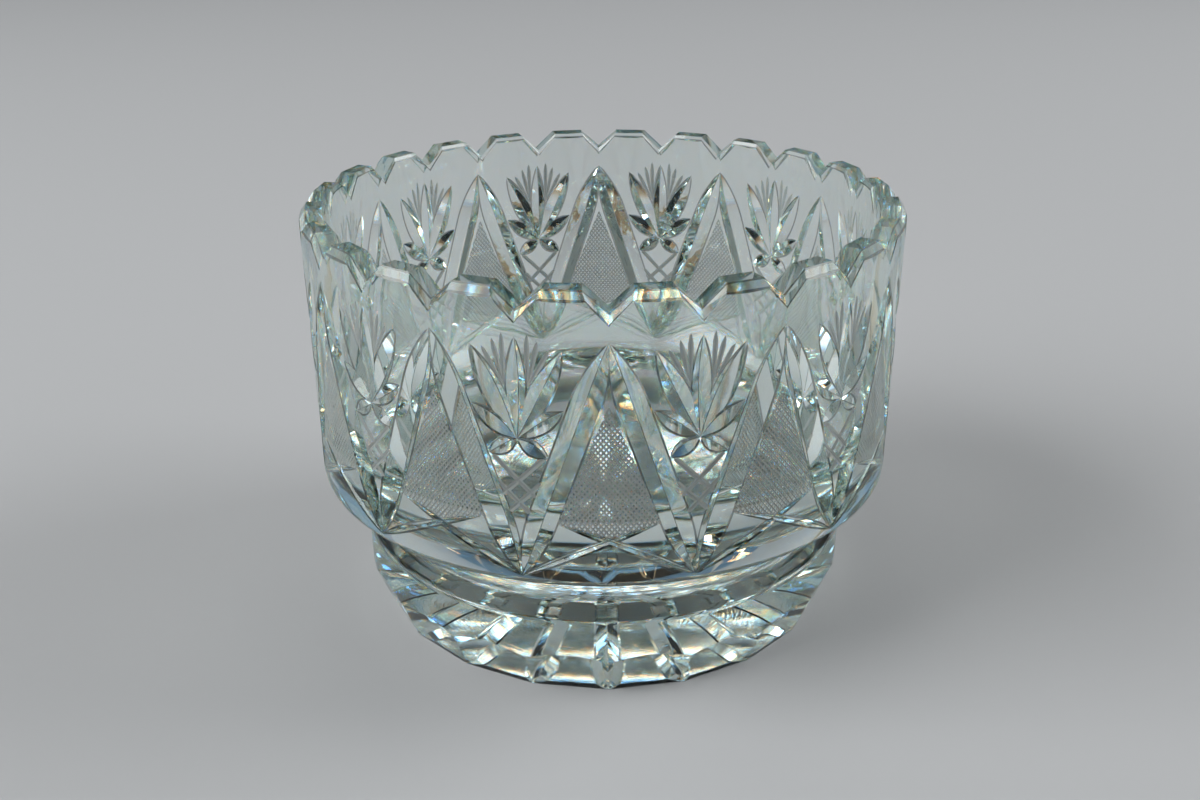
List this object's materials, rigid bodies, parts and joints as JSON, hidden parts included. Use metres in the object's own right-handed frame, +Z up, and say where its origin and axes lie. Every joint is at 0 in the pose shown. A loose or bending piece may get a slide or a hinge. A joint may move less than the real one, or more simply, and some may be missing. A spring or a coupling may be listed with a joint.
{
  "type": "cut crystal bowl",
  "caption": "Footed bowl of thick clear glass: upright wall with scalloped rim, wheel-cut triangles and leaf fans, waisted neck, faceted foot and star-cut base.",
  "frame": {"origin": "centre of the resting ring, on the surface the bowl stands on", "axes": "+Z up along the bowl's axis; -Y towards the point of one cut triangle"},
  "size_m": [0.18, 0.18, 0.1283],
  "materials": {
    "crystal": "clear polished crystal, with the finely cross-cut panels left grey from the wheel"
  },
  "bodies": {
    "root": {"bowl": "crystal"}
  },
  "joints": []
}
